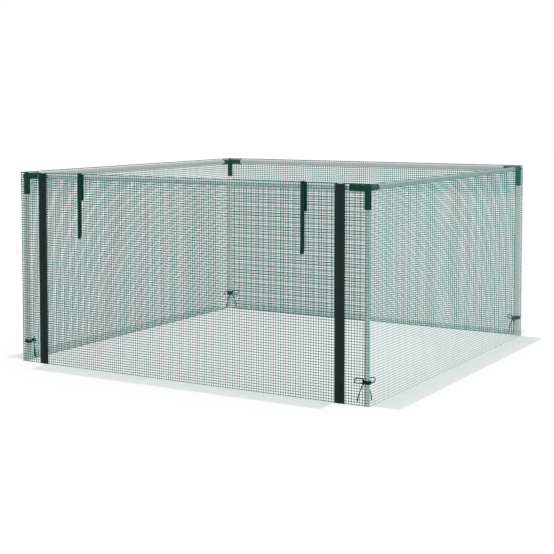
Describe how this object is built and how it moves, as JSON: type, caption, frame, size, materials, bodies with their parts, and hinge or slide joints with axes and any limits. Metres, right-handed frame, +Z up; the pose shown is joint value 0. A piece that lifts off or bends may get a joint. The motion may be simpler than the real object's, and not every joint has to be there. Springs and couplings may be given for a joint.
{
  "type": "open-top fruit cage",
  "caption": "Low square fruit cage: steel tube frame with moulded three-way corners, net walls, a net door between two zips, and net skirts that lie on the ground.",
  "frame": {"origin": "On the ground, in the middle of the cage.", "axes": "+Z is up. The net door faces -Y. +X runs along the door wall, to the right when facing the door from outside."},
  "size_m": [1.3976, 1.3976, 0.6068],
  "materials": {
    "tube_paint": "smooth pale grey-green powder coat",
    "corner_plastic": "moulded dark green plastic, slightly shiny",
    "net_thread": "knitted dark green net",
    "skirt_thread": "fine pale knitted net lying on the ground",
    "zip_tape": "woven tape with a moulded coil",
    "zip_metal": "dark green lacquer",
    "webbing": "woven strap",
    "tie_cord": "round braided cord"
  },
  "bodies": {
    "frame": {"leg_front_left": "tube_paint", "leg_front_right": "tube_paint", "leg_back_right": "tube_paint", "leg_back_left": "tube_paint", "corner_front_left": "corner_plastic", "corner_front_right": "corner_plastic", "corner_back_right": "corner_plastic", "corner_back_left": "corner_plastic", "tie_front_left": "tie_cord", "tie_front_right": "tie_cord", "tie_back_right": "tie_cord", "tie_back_left": "tie_cord", "rail_front": "tube_paint", "rail_back": "tube_paint", "rail_left": "tube_paint", "rail_right": "tube_paint", "net_left": "net_thread", "net_right": "net_thread", "net_back": "net_thread", "net_jamb_left": "net_thread", "net_jamb_right": "net_thread", "zip_tape_left_jamb": "zip_tape", "zip_tape_right_jamb": "zip_tape"},
    "door": {"net_door": "net_thread", "zip_tape_left_door": "zip_tape", "zip_tape_right_door": "zip_tape"},
    "slider_left": {"slider_left": "zip_metal"},
    "pull_tab_left": {"pull_tab_left": "zip_metal"},
    "strap_left_outer": {"strap_left_outer": "webbing"},
    "strap_left_inner": {"strap_left_inner": "webbing"},
    "slider_right": {"slider_right": "zip_metal"},
    "pull_tab_right": {"pull_tab_right": "zip_metal"},
    "strap_right_outer": {"strap_right_outer": "webbing"},
    "strap_right_inner": {"strap_right_inner": "webbing"},
    "skirt_left": {"skirt_left": "skirt_thread"},
    "skirt_right": {"skirt_right": "skirt_thread"},
    "skirt_back": {"skirt_back": "skirt_thread"},
    "skirt_door": {"skirt_door": "skirt_thread"}
  },
  "joints": [
    {"name": "door_swing", "type": "hinge", "parent": "frame", "child": "door", "pos_m": [0, -0.61275, 0.6045], "axis": [-1, 0, 0], "range_deg": [0, 120]},
    {"name": "zip_left_slide", "type": "slide", "parent": "door", "child": "slider_left", "axis": [0, 0, 1], "range_m": [0, 0.53]},
    {"name": "pull_tab_left_hinge", "type": "hinge", "parent": "slider_left", "child": "pull_tab_left", "pos_m": [-0.5235, -0.61855, 0.047], "axis": [-1, 0, 0], "range_deg": [0, 170]},
    {"name": "strap_left_outer_lift", "type": "hinge", "parent": "door", "child": "strap_left_outer", "pos_m": [-0.376, -0.61275, 0.6045], "axis": [-1, 0, 0], "range_deg": [0, 90]},
    {"name": "strap_left_inner_lift", "type": "hinge", "parent": "frame", "child": "strap_left_inner", "pos_m": [-0.3705, -0.61105, 0.6019], "axis": [1, 0, 0], "range_deg": [0, 10]},
    {"name": "zip_right_slide", "type": "slide", "parent": "door", "child": "slider_right", "axis": [0, 0, 1], "range_m": [0, 0.53]},
    {"name": "pull_tab_right_hinge", "type": "hinge", "parent": "slider_right", "child": "pull_tab_right", "pos_m": [0.5235, -0.61855, 0.047], "axis": [-1, 0, 0], "range_deg": [0, 170]},
    {"name": "strap_right_outer_lift", "type": "hinge", "parent": "door", "child": "strap_right_outer", "pos_m": [0.407, -0.61275, 0.6045], "axis": [-1, 0, 0], "range_deg": [0, 90]},
    {"name": "strap_right_inner_lift", "type": "hinge", "parent": "frame", "child": "strap_right_inner", "pos_m": [0.4125, -0.61105, 0.6019], "axis": [1, 0, 0], "range_deg": [0, 10]},
    {"name": "skirt_left_fold", "type": "hinge", "parent": "frame", "child": "skirt_left", "pos_m": [-0.61385, 0, 0.0016], "axis": [0, 1, 0], "range_deg": [0, 90]},
    {"name": "skirt_right_fold", "type": "hinge", "parent": "frame", "child": "skirt_right", "pos_m": [0.61385, 0, 0.0016], "axis": [0, -1, 0], "range_deg": [0, 90]},
    {"name": "skirt_back_fold", "type": "hinge", "parent": "frame", "child": "skirt_back", "pos_m": [0, 0.61385, 0.0016], "axis": [1, 0, 0], "range_deg": [0, 90]},
    {"name": "skirt_door_fold", "type": "hinge", "parent": "door", "child": "skirt_door", "pos_m": [0, -0.61385, 0.0016], "axis": [-1, 0, 0], "range_deg": [0, 90]}
  ]
}
